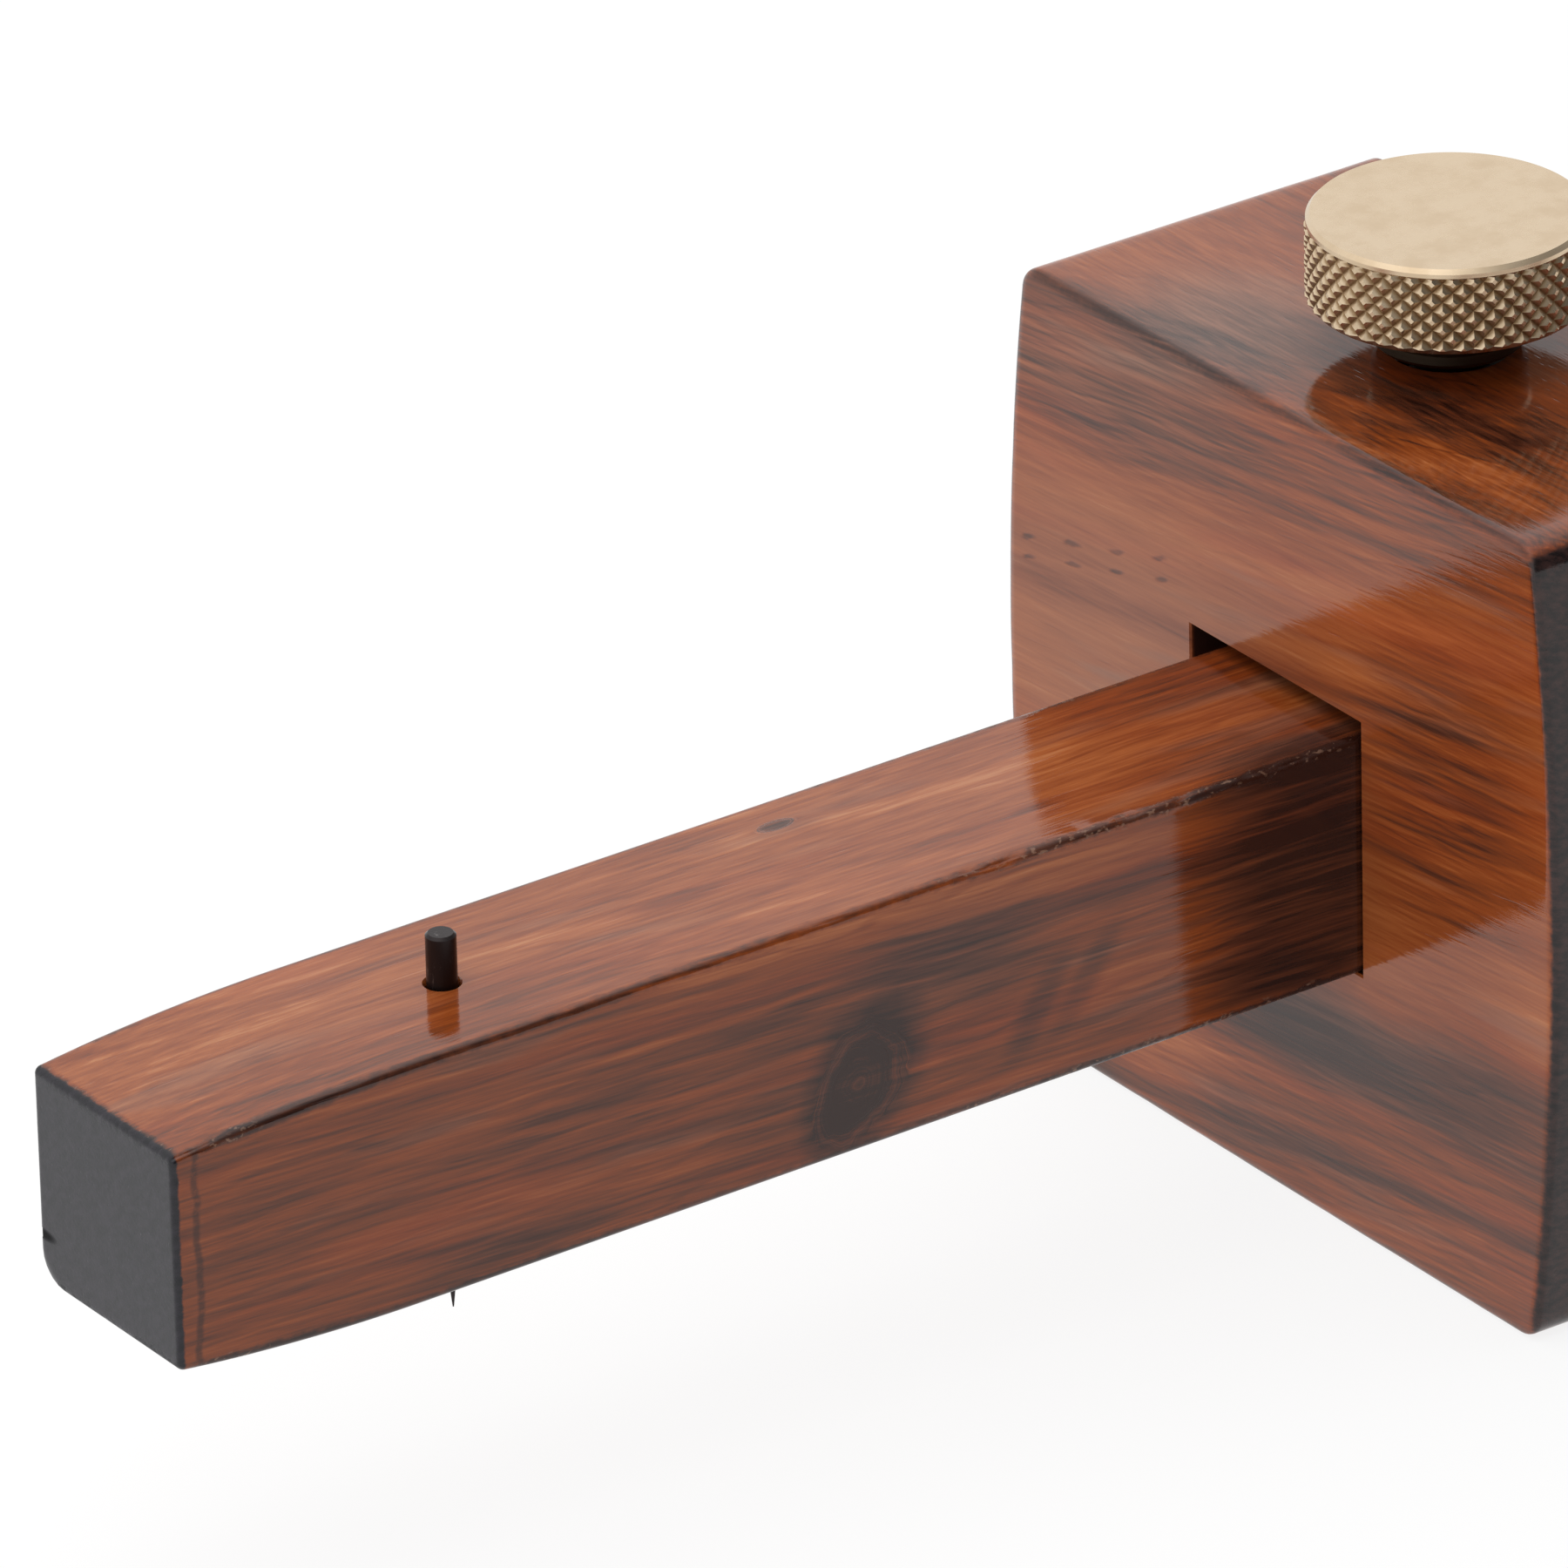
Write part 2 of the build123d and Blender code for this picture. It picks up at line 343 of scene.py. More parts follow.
@dataclass(frozen=True)
class Rosewood:
    """Oiled and varnished rosewood."""

    name: str
    grain: Axis
    centre: Point
    half: Point
    lean: Point
    bands: tuple[Band, ...]
    belly: float = 0.0
    easing: float = 0.0
    drift: float = 4.0
    knots: tuple[Knot, ...] = ()
    blots: tuple[Blot, ...] = ()
    rows: tuple[PoreRow, ...] = ()
    worn: tuple[Pair, ...] = ()
    mouth: Pair = (0.0, 0.0)
    split: Blot | None = None
    arris_tone: float = -0.45

    seal: Colour = (0.003, 0.003, 0.006)
    thin_seal: Colour = (0.016, 0.013, 0.020)

    LINE: Colour = (0.026, 0.008, 0.005)
    DARK: Colour = (0.100, 0.027, 0.011)
    MID: Colour = (0.240, 0.052, 0.011)
    PALE: Colour = (0.365, 0.100, 0.025)
    CREAM: Colour = (0.46, 0.17, 0.062)
    BARE: Colour = (0.36, 0.21, 0.14)

    def material(self) -> Look:
        """Makes the finish.

        Returns:
            The material.
        """
        material, g = new_material(self.name)
        x, y, z = g.place()
        along, across = (x, y) if self.grain is Axis.X else (y, x)
        at = Place(g, x, y, z, along, across)
        growth, knotted, turned = self._growth(at)
        tone, figure = self._bands(g, growth)

        greyness: Value = 0.0
        spread: Value = 0.0
        for blot in self.blots:
            mask = self._blot(at, blot)
            spread = spread + mask * blot.tone
            greyness = greyness + mask * blot.grey
            figure = figure + mask * blot.figure

        broad = g.cloud(along * 0.020, growth * 0.22, across * 0.08, 3.0)
        streak = g.cloud(along * 0.028, growth * 0.90, across * 0.35, 4.0, 0.55)
        thread = g.cloud(along * 0.065, growth * 2.2, across * 1.0, 3.0, 0.55)
        fibre = g.cloud(along * 0.13, z * 3.6 + along * 0.16, across * 3.6, 3.0, 0.6)
        pore = g.rise(g.cloud(along * 0.12, growth * 4.0, across * 4.0 + 31.0, 1.0), 0.66, 0.80)
        gleam = g.rise(g.cloud(along * 0.07, growth * 2.8, across * 1.4 + 57.0, 2.0), 0.55, 0.85)
        line = self._growth_lines(at, growth, streak) * (1.0 - turned)
        rows = self._pore_rows(at)

        tone = tone + spread + (broad - 0.5) * 0.65 + (streak - 0.5) * (0.15 + figure * 0.75)
        tone = tone + ((thread - 0.5) * 0.62 + gleam * 0.22 - 0.02 - line * 0.14) * figure
        tone = tone + (fibre - 0.5) * (0.40 + figure * 0.22) - pore * 0.12 - rows * 0.34 - knotted

        rag = g.cloud(x * 0.9, y * 1.6, z * 1.6, 3.0, 0.6)
        spots = self._spots(at, rag)
        tone = tone + spots.arris * self.arris_tone - spots.worn * 0.05

        colour = self._wood_colour(at, tone, growth, greyness)
        bare = spots.worn * g.rise(g.cloud(x * 1.9, y * 3.0, z * 3.0, 2.0), 0.57, 0.66)
        colour = g.mix(bare * 0.50, colour, self.BARE)
        # Painted shade: the mortise's inside is laid in the near-black line colour.
        colour = g.mix(spots.inside, colour, self.LINE)
        seal = g.mix(g.rise(thread * 0.5 + rag * 0.5, 0.35, 0.68), self.seal, self.thin_seal)
        colour = g.mix(spots.sealed, colour, seal)
        colour = g.mix(spots.line, colour, self.LINE)
        # Painted shade in the split: its hollow is laid near-black and made rough.
        split_shade: Value = 0.0
        if self.split:
            split_shade = self._blot(at, self.split)
            colour = g.mix(split_shade, colour, (0.002, 0.002, 0.002))

        haze = g.cloud(x * 0.12, y * 0.12, z * 0.12, 3.0)
        rough = 0.070 + (haze - 0.5) * 0.05 + (fibre - 0.5) * 0.04
        rough = rough + spots.worn * 0.35 + spots.sealed * rag * 0.16 + spots.inside * 0.5 + split_shade
        height = (fibre - 0.5) * 0.35 + (thread - 0.5) * figure * 0.5 - pore * 0.25 - rows * 0.5
        height = height - line * 0.12 - spots.worn * rag
        g.surface(
            {"Base Color": colour, "Roughness": rough, "IOR": 1.45, "Normal": g.bump(height, 0.026)}
        )
        return material

    def _growth(self, at: Place) -> tuple[Signal, Value, Value]:
        """How far through the growth layers the surface is.

        Args:
            at: The surface's place.

        Returns:
            The distance in millimetres, how dark the knots make the wood, and how far the grain turns.
        """
        drift = at.g.cloud(at.along * 0.014, at.across * 0.05, at.z * 0.05)
        wander = at.g.cloud(at.along * 0.06, at.across * 0.20, at.z * 0.20 + 17.0)
        growth = at.x * self.lean[0] + at.y * self.lean[1] + at.z * self.lean[2]
        growth = growth + (drift - 0.5) * self.drift + (wander - 0.5) * 1.3
        knotted: Value = 0.0
        turned: Value = 0.0
        for knot in self.knots:
            core, near, distance = self._knot(at, knot)
            growth = growth + near * (distance * knot.radii[1] - growth)
            knotted = knotted + core * knot.darkness
            turned = turned + near
        return growth, knotted, turned

    def _bands(self, g: Graph, growth: Signal) -> tuple[Signal, Signal]:
        """The wood's tone and figure by its growth layers.

        Args:
            g: The material's graph.
            growth: Distance through the layers, in millimetres.

        Returns:
            The tone, from 0 for black lines to 1 for pale wood, and the strength of the figure.
        """
        low, high = self.bands[0].at, self.bands[-1].at
        strongest = max(band.figure for band in self.bands)
        stops = [((b.at - low) / (high - low), (b.tone, b.figure / strongest, 0.0)) for b in self.bands]
        tone, figure, _ = g.parts(g.ramp((growth - low) / (high - low), stops))
        return tone, figure * strongest

    def _wood_colour(self, at: Place, tone: Signal, growth: Signal, greyer: Value) -> Signal:
        """The colour of a tone, which drifts to redder and to greyer wood.

        Args:
            at: The surface's place.
            tone: The tone, from 0 to 1.
            growth: Distance through the layers.
            greyer: How much of the grey wood to add.

        Returns:
            The colour.
        """
        g = at.g
        tones = (self.LINE, self.DARK, self.MID, self.PALE, self.CREAM)
        stops = zip((0.0, 0.27, 0.56, 0.84, 1.0), tones)
        colour = g.ramp(tone, stops)
        redness = g.cloud(at.along * 0.025, growth * 0.30, at.across * 0.1 + 40.0)
        colour = g.mix(g.rise(redness, 0.48, 0.72) * 0.6, colour, (1.0, 0.78, 0.74), "MULTIPLY")
        greyness = g.cloud(at.along * 0.04, growth * 0.45, at.across * 0.1 + 90.0)
        greys = g.mix(g.rise(tone, 0.1, 0.8), (0.034, 0.020, 0.017), (0.24, 0.125, 0.085))
        return g.mix(g.rise(greyness, 0.55, 0.75) * 0.35 + greyer, colour, greys)

    def _growth_lines(self, at: Place, growth: Signal, streak: Signal) -> Signal:
        """Thin dark lines between growth layers.

        Args:
            at: The surface's place.
            growth: Distance through the layers.
            streak: The streaks' noise, which breaks the lines.

        Returns:
            A mask.
        """
        g = at.g
        wobble = g.cloud(at.along * 0.05, growth * 0.35, 7.0)
        phase = g.math("FRACT", growth / 2.3 + wobble * 2.0)
        return g.rise(abs(phase - 0.5), 0.10, 0.02) * g.rise(streak, 0.40, 0.62)

    def _pore_rows(self, at: Place) -> Value:
        """The mask of the open pores that lie in rows.

        Args:
            at: The surface's place.

        Returns:
            A mask.
        """
        g, x, y, z = at.g, at.x, at.y, at.z
        mask: Value = 0.0
        uneven = g.cloud(1.0, y * 0.5, z * 0.5, 2.0) - 0.5
        for row in self.rows:
            phase = g.math("FRACT", (y + uneven * 1.2) / row.spacing) - 0.5
            up = z + y * row.slope - row.height + uneven * 0.5
            away = g.length(phase * (row.spacing / row.pore[0]), up / row.pore[1])
            low, high = row.span
            within = g.rise(y, low - 3.0, low) * g.rise(y, high + 1.0, high) * g.rise(x, -15.0, -15.4)
            mask = mask + g.rise(away, 1.0, 0.3) * within
        return mask

    def _knot(self, at: Place, knot: Knot) -> tuple[Signal, Signal, Signal]:
        """Where a knot is and how far it reaches.

        Args:
            at: The surface's place.
            knot: The knot.

        Returns:
            The dark core's mask, the mask of the grain that turns round it, and the distance in radii.
        """
        g, x, y, z = at.g, at.x, at.y, at.z
        depth, other = (y, z) if knot.face is Axis.Y else (z, y)
        lean = (other - knot.centre[1]) * 0.28
        first = (x - knot.centre[0] - lean) / knot.radii[0]
        second = (other - knot.centre[1]) / knot.radii[1]
        jitter = g.cloud(x * 0.22, y * 0.22, z * 0.22, 3.0, 0.5)
        distance = g.length(first, second) + (jitter - 0.5) * 0.7
        fade = g.rise(abs(depth - knot.side), knot.depth, knot.depth * 0.4)
        rings = g.cloud(distance * 6.0, jitter * 2.0, 0.0, 2.0)
        core = g.rise(distance, 1.50, 0.35) * (0.75 + 0.35 * rings)
        return core * fade, g.rise(distance, knot.reach, knot.reach - 0.4) * fade, distance

    def _blot(self, at: Place, blot: Blot) -> Signal:
        """The mask of a soft patch.

        Args:
            at: The surface's place.
            blot: The patch.

        Returns:
            A mask, 1 in the patch's middle.
        """
        away = [(p - c) / r for p, c, r in zip((at.x, at.y, at.z), blot.centre, blot.radii)]
        if blot.lean:
            away[0] = away[0] - away[2] * (blot.lean * blot.radii[2] / blot.radii[0])
        return at.g.rise(at.g.length(*away), 1.1, 0.2)

    def _spots(self, at: Place, rag: Signal) -> WoodSpots:
        """Where the block's arrises and end grain are, and the painted shade inside its mortise.

        Args:
            at: The surface's place.
            rag: Noise that makes the masks' borders ragged.

        Returns:
            The masks.
        """
        g, x, y, z = at.g, at.x, at.y, at.z
        away = [half - abs(p - c) for half, p, c in zip(self.half, (x, y, z), self.centre)]
        line: Value = 0.0
        inside: Value = 0.0
        if self.grain is Axis.X:
            away[2] = away[2] - g.rise(away[0], 20.0, 0.0) * self.easing
            bend = g.cloud(3.0, y * 0.3, z * 0.28, 3.0, 0.6)
            near_side = g.rise(y, self.centre[1] - self.half[1] + 1.0, self.centre[1] - self.half[1])
            line = g.rise(abs(away[0] - 1.1 - bend * 1.3), 0.42, 0.10) * near_side
            line = line * g.rise(rag, 0.25, 0.50) * 0.85
            sealed = g.rise(away[0] + (rag - 0.5) * 0.35, 0.50, 0.30)
        else:
            up = (z - self.centre[2]) / self.half[2]
            away[1] = away[1] + (1.0 - up * up) * self.belly
            sealed = g.rise(away[1] + (rag - 0.5) * 0.3, 0.60, 0.25)
            # Painted shade inside the mortise, where the gap round the beam is dark.
            wide, tall = self.mouth
            inside = g.rise(abs(y), wide + 0.4, wide + 0.05)
            inside = inside * g.rise(abs(z - self.centre[2]), tall + 0.4, tall + 0.05)
            inside = inside * g.rise(abs(x), self.half[0] - 0.05, self.half[0] - 0.45)
        pairs = (away[0] + away[1], away[1] + away[2], away[0] + away[2])
        edge = g.least(g.least(pairs[0], pairs[1]), pairs[2])
        arris = g.rise(edge + (rag - 0.5) * 0.7, 0.85, 0.22)
        worn: Value = 0.0
        for low, high in self.worn:
            worn = worn + g.rise(x, low - 4.0, low + 2.0) * g.rise(x, high + 4.0, high)
        wide_arris = g.rise(edge + (rag - 0.5) * 1.6, 0.85, 0.20)
        return WoodSpots(arris, wide_arris * worn, sealed, line, inside)


@dataclass(frozen=True)
class Brass:
    """Turned brass about the thumbscrew's axis, with dirt in its knurling and painted shade below a
    height.
    """

    name: str
    tone: Colour = (0.640, 0.505, 0.350)
    dirt: Colour = (0.290, 0.185, 0.095)
    # Painted shade: a near-black colour that stands for the knob's shadow on what lies below it.
    painted_shade: Colour = (0.020, 0.014, 0.010)
    rim: float = 0.0
    groove: float = 0.0
    band: Pair = (0.0, 0.0)
    shade_below: float = 0.0

    def material(self) -> Look:
        """Makes the finish.

        Returns:
            The material.
        """
        material, g = new_material(self.name)
        x, y, z = g.place()
        radius = g.length(x, y)
        mottle = g.cloud(x * 0.30, y * 0.30, z * 0.30, 4.0, 0.65)
        speck = g.cloud(x * 2.2, y * 2.2, z * 2.2, 3.0, 0.7)
        swirl = g.cloud(x * 0.8, y * 0.8, z * 0.8, 2.0)
        turned = g.cloud(radius * 2.6, z * 2.6, swirl * 0.5, 3.0)
        tarnish = g.rise(mottle, 0.38, 0.72) * 0.60 + g.rise(speck, 0.55, 0.85) * 0.12
        tarnished = tuple(c * k for c, k in zip(self.tone, (0.84, 0.80, 0.74)))
        colour = g.mix(tarnish, self.tone, tarnished)

        low, high = self.band
        within = g.rise(z, low, low + 0.15) * g.rise(z, high, high - 0.15)
        dirty = g.rise(radius + (speck - 0.5) * 0.22, self.rim, self.groove) * within
        colour = g.mix(dirty, colour, self.dirt)
        # Painted shade below a height, for the shadow under the knob; it also makes the surface a little
        # rougher.
        shade_mask = g.rise(z + (speck - 0.5) * 0.3, self.shade_below + 0.2, self.shade_below - 0.2)
        colour = g.mix(shade_mask * 0.93, colour, self.painted_shade)
        rough = 0.27 + (mottle - 0.5) * 0.20 + (turned - 0.5) * 0.10 + dirty * 0.25 + shade_mask * 0.1
        g.surface(
            {
                "Base Color": colour, "Metallic": 1.0, "Roughness": rough,
                "Normal": g.bump(turned * 0.9 + speck * 0.12, 0.008),
            }
        )
        return material


@dataclass(frozen=True)
class BlackSteel:
    """Blued and oiled steel, with the dark scale rubbed thin in places."""

    name: str
    tone: Colour = (0.030, 0.024, 0.024)
    rubbed: Colour = (0.20, 0.185, 0.18)

    def material(self) -> Look:
        """Makes the finish.

        Returns:
            The material.
        """
        material, g = new_material(self.name)
        x, y, z = g.place()
        patch = g.cloud(x * 0.9, y * 0.9, z * 0.6, 4.0, 0.65)
        scratch = g.cloud(x * 6.0, y * 6.0, z * 0.9, 2.0)
        bare = g.rise(patch + (scratch - 0.5) * 0.4, 0.58, 0.80)
        g.surface(
            {
                "Base Color": g.mix(bare, self.tone, self.rubbed), "Metallic": 0.85,
                "Roughness": 0.34 + (patch - 0.5) * 0.2, "Normal": g.bump(scratch, 0.008),
            }
        )
        return material


Finish = Rosewood | Brass | BlackSteel


# ---- mesh helpers ----


def everything(bm: Mesh) -> list[bmesh.types.BMVert | bmesh.types.BMEdge | bmesh.types.BMFace]:
    """All of a mesh's elements, for the operators that want them together."""
    return bm.verts[:] + bm.edges[:] + bm.faces[:]


def block(size: Point) -> Mesh:
    """A plain block about the origin."""
    bm = bmesh.new()
    bmesh.ops.create_cube(bm, size=1.0)
    bmesh.ops.scale(bm, vec=size, verts=bm.verts)
    return bm


def slice_at(
    bm: Mesh, axis: Axis, places: Iterable[float], below: bool = False, above: bool = False
) -> None:
    """Cuts a mesh's faces along planes.

    Args:
        bm: The mesh.
        axis: What the planes are square to.
        places: Where they are along the axis.
        below: Whether what is below a plane is taken away.
        above: Whether what is above a plane is taken away.
    """
    for place in places:
        bmesh.ops.bisect_plane(
            bm, geom=everything(bm), dist=1e-5, plane_co=axis.direction * place,
            plane_no=axis.direction, clear_inner=below, clear_outer=above,
        )


def divide_band(bm: Mesh, axis: Axis, low: float, high: float, step: float) -> None:
    """Divides the stretch of a block between two of its slices evenly.

    Args:
        bm: The block.
        axis: The direction of the stretch.
        low: Where it begins.
        high: Where it ends.
        step: The wanted spacing.
    """
    edges = [
        e for e in bm.edges if abs(min(v.co[axis.value] for v in e.verts) - low) < 1e-4
        and abs(max(v.co[axis.value] for v in e.verts) - high) < 1e-4
    ]
    cuts = max(1, round((high - low) / step) - 1)
    bmesh.ops.subdivide_edges(bm, edges=edges, cuts=cuts, use_grid_fill=True)


def even_places(low: float, high: float, step: float) -> list[float]:
    """Evenly spaced places between two others, which are left out."""
    count = max(1, round((high - low) / step))
    return [low + (high - low) * i / count for i in range(1, count)]


def edge_places(half: float, insets: Iterable[float], step: float) -> list[float]:
    """Places across a block, at rising insets from both its edges and evenly spaced between."""
    near = [half - inset for inset in insets]
    return [-n for n in near] + even_places(-near[-1], near[-1], step) + near


def reshape(bm: Mesh, mapping: Callable[[Vector], Vector]) -> None:
    """Moves every vertex to where a mapping sends it."""
    for vert in bm.verts:
        vert.co = mapping(vert.co)


def clamp(value: float, limit: float) -> float:
    """A value kept between a limit and its opposite."""
    return max(-limit, min(limit, value))


def rounded(point: Vector, half: Vector, corner: float, arris: float) -> tuple[Vector, Vector, Vector]:
    """Rounds a block's arrises along X by one radius and the others by a smaller one.

    Args:
        point: A point of the plain block.
        half: Half the block's sizes.
        corner: The radius along X.
        arris: The smaller radius.

    Returns:
        Where the point lands, and the centres of the smaller and of the larger rounding.
    """
    core = Vector((0.0, clamp(point.y, half.y - corner), clamp(point.z, half.z - corner)))
    out = Vector((0.0, point.y, point.z)) - core
    middle = core + out * min(1.0, (corner - arris) / max(out.length, 1e-9))
    middle.x = clamp(point.x, half.x - arris)
    return middle + (point - middle).normalized() * arris, middle, core


def wire(outline: Iterable[Pair]) -> Mesh:
    """A line of edges through (radius, height) points.

    Args:
        outline: The points.

    Returns:
        The line, beside the Z axis.
    """
    bm = bmesh.new()
    verts = [bm.verts.new((radius, 0.0, height)) for radius, height in outline]
    for first, second in zip(verts, verts[1:]):
        bm.edges.new((first, second))
    return bm


def spin(bm: Mesh, angle: float, steps: int, **settings: object) -> None:
    """Sweeps or copies all of a mesh about Z, with the operator's other settings as given."""
    geom = everything(bm)
    bmesh.ops.spin(bm, geom=geom, cent=(0, 0, 0), axis=(0, 0, 1), angle=angle, steps=steps, **settings)


def lathe(outline: Iterable[Pair], segments: int = 64) -> Mesh:
    """A closed shape turned about Z.

    Args:
        outline: (radius, height) points, from the axis below to the axis above.
        segments: How many steps a turn has.

    Returns:
        The shape.
    """
    bm = wire(outline)
    spin(bm, math.tau, segments, use_merge=True)
    bmesh.ops.remove_doubles(bm, verts=bm.verts, dist=1e-4)
    bmesh.ops.recalc_face_normals(bm, faces=bm.faces)
    return bm


def moved(bm: Mesh, by: Point) -> Mesh:
    """The same mesh, shifted."""
    bmesh.ops.translate(bm, vec=by, verts=bm.verts)
    return bm


def joined(first: Mesh, second: Mesh) -> Mesh:
    """The first mesh with the second one's shells added. The second is used up."""
    between = bpy.data.meshes.new("between")
    second.to_mesh(between)
    first.from_mesh(between)
    bpy.data.meshes.remove(between)
    second.free()
    return first


def new_object(name: str, bm: Mesh) -> bpy.types.Object:
    """Puts a mesh into the scene.

    Args:
        name: The object's name.
        bm: Its mesh, which is used up.

    Returns:
        The object.
    """
    mesh = bpy.data.meshes.new(name)
    bm.to_mesh(mesh)
    bm.free()
    made = bpy.data.objects.new(name, mesh)
    bpy.context.scene.collection.objects.link(made)
    return made


def carve(bm: Mesh, cutter: Mesh) -> Mesh:
    """Cuts one closed shape out of another. Both are used up.

    Args:
        bm: The body.
        cutter: What is taken away.

    Returns:
        What is left.
    """
    for shape in (bm, cutter):
        bmesh.ops.recalc_face_normals(shape, faces=shape.faces)
    body, tool = (new_object("carving", shape) for shape in (bm, cutter))
    cut = body.modifiers.new("cut", "BOOLEAN")
    cut.operation = "DIFFERENCE"
    cut.solver = "EXACT"
    cut.object = tool
    left = bmesh.new()
    left.from_object(body, bpy.context.evaluated_depsgraph_get())
    for piece in (body, tool):
        mesh = piece.data
        bpy.data.objects.remove(piece)
        bpy.data.meshes.remove(mesh)
    return left


def add_piece(name: str, bm: Mesh, body: str, finish: Finish, sharp: float = 35.0) -> None:
    """Turns a mesh in millimetres into a finished piece that rides on a body.

    Args:
        name: The name of the piece and of the CAD node that it stands for.
        bm: Its mesh, which is used up.
        body: The CAD body that it moves with.
        finish: Its finish, which has the name of the record's material slot.
        sharp: The angle in degrees past which an edge is shown sharp.
    """
    bmesh.ops.scale(bm, vec=(MM, MM, MM), verts=bm.verts)
    piece = new_object(name, bm)
    mesh = piece.data
    mesh.shade_smooth()
    mesh.set_sharp_from_angle(angle=math.radians(sharp))
    mesh.materials.append(finish.material())
    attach(piece, body)
    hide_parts(name)
    log.info("%s: %d faces, on %s", name, len(mesh.polygons), body)


def finish_node(node: str, finish: Finish) -> None:
    """Gives a CAD node that stays in view its finish.

    Args:
        node: The node's name.
        finish: Its finish, which has the name of the record's material slot.
    """
    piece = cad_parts[node]
    piece.data.materials.clear()
    piece.data.materials.append(finish.material())
    log.info("%s: kept from the CAD frame", node)


# ---- sub-assemblies ----


@dataclass
class Fence:
    """The hardwood block that runs along the work, with bellied sides and the beam's mortise."""

    height: float = 62.5
    edge_width: float = 60.0
    belly: float = 2.5
    thickness: float = 31.5
    corner: float = 1.8
    arris: float = 0.6
    mortise_width: float = 20.1
    mortise_height: float = 20.1
    mouth_chamfer: float = 0.15
    pocket_side: float = 14.4
    pocket_top: float = 44.37
    stud_hole_radius: float = 3.4
    seat_radius: float = 4.5
    seat_bottom: float = 50.3

    def build(self) -> Mesh:
        """Shapes the block.

        Returns:
            Its mesh.
        """
        bm = block((self.thickness, self.edge_width, self.height))
        slice_at(bm, Axis.X, edge_places(self.thickness / 2, (0.15, 0.3, 0.45, 0.6, 1.2), 2.4))
        rounds = (0.45, 0.9, 1.35, 1.8, 2.7)
        slice_at(bm, Axis.Y, edge_places(self.edge_width / 2, rounds, 1.8))
        slice_at(bm, Axis.Z, edge_places(self.height / 2, rounds, 1.8))
        reshape(bm, self._rounded)
        moved(bm, (0, 0, self.height / 2))
        bm = carve(bm, self._mortise())
        pocket = block((self.pocket_side, self.pocket_side, self.pocket_top - self.height / 2))
        bm = carve(bm, moved(pocket, (0, 0, (self.pocket_top + self.height / 2) / 2)))
        bm = carve(bm, self._rod(self.stud_hole_radius, self.height / 2, self.height))
        return carve(bm, self._rod(self.seat_radius, self.seat_bottom, self.height + 1))

    def dress(self, bm: Mesh) -> None:
        """Gives the block its finish and its place in the frame."""
        wood = Rosewood(
            name="fence_rosewood", grain=Axis.Y, centre=(0.0, 0.0, self.height / 2),
            half=(self.thickness / 2, self.edge_width / 2, self.height / 2), lean=(0.38, 0.13, 1.0),
            bands=(
                Band(-12.0, 0.44, 0.7), Band(-2.8, 0.44, 0.7), Band(-2.1, 0.26, 0.7),
                Band(-1.6, 0.26, 0.7), Band(-0.9, 0.42, 0.7), Band(3.0, 0.38, 0.7),
                Band(5.5, 0.28, 0.7), Band(8.5, 0.27, 0.7), Band(10.5, 0.44, 0.5),
                Band(14.0, 0.66, 0.35), Band(22.0, 0.74, 0.22), Band(33.8, 0.74, 0.22),
                Band(35.6, 0.62, 0.30), Band(37.5, 0.73, 0.35), Band(46.2, 0.72, 0.40),
                Band(47.6, 0.47, 0.9), Band(53.0, 0.52, 1.05), Band(56.0, 0.58, 1.1),
                Band(58.3, 0.40, 0.8), Band(60.5, 0.42, 0.6), Band(62.5, 0.57, 0.55),
                Band(68.0, 0.60, 0.6), Band(78.0, 0.46, 0.9),
            ),
            belly=self.belly, drift=2.0,
            blots=(
                Blot((-16.0, -20.0, 38.5), (6.0, 14.0, 17.0), -0.20, 0.0, 0.8),
                Blot((-8.0, -13.0, 62.5), (10.0, 15.0, 4.0), -0.10, 0.0, 0.5),
                Blot((-10.0, 12.0, 62.5), (11.0, 13.0, 5.0), -0.04, 0.75),
                Blot((-16.0, 20.0, 57.0), (5.0, 22.0, 7.0), 0.0, 0.35),
                Blot((-16.0, 18.0, 36.0), (5.0, 30.0, 18.0), 0.03, 0.32),
                Blot((-16.0, -22.0, 20.0), (5.0, 10.0, 9.0), -0.12),
                Blot((-16.0, -4.0, 15.0), (5.0, 16.0, 5.5), -0.06, 0.65),
                Blot((-16.0, 16.0, 9.0), (5.0, 12.0, 12.0), 0.26),
            ),
            rows=(
                PoreRow(48.8, 0.27, 5.4, (1.35, 0.34), (11.0, 30.0)),
                PoreRow(47.2, 0.27, 5.4, (1.15, 0.30), (11.0, 30.0)),
            ),
            arris_tone=-0.20, seal=(0.008, 0.005, 0.005), thin_seal=(0.045, 0.020, 0.017),
            mouth=(self.mortise_width / 2, self.mortise_height / 2),
        )
        add_piece("fence", bm, "fence", wood)

    def _rounded(self, point: Vector) -> Vector:
        """Where a point of the plain block lands once its arrises are rounded and its sides swell."""
        half = Vector((self.thickness, self.edge_width, self.height)) / 2
        shaped, middle, _ = rounded(point, half, self.corner, self.arris)
        worn = 1.0 + 0.3 * noise.fractal(point * 0.21, 1.0, 2.0, 3)
        if worn > 1.0:
            shaped += (middle - shaped) * (1.0 - 1.0 / worn) * 0.25
        up = shaped.z / half.z
        shaped.y *= 1.0 + self.belly * (1.0 - up * up) / half.y
        return shaped

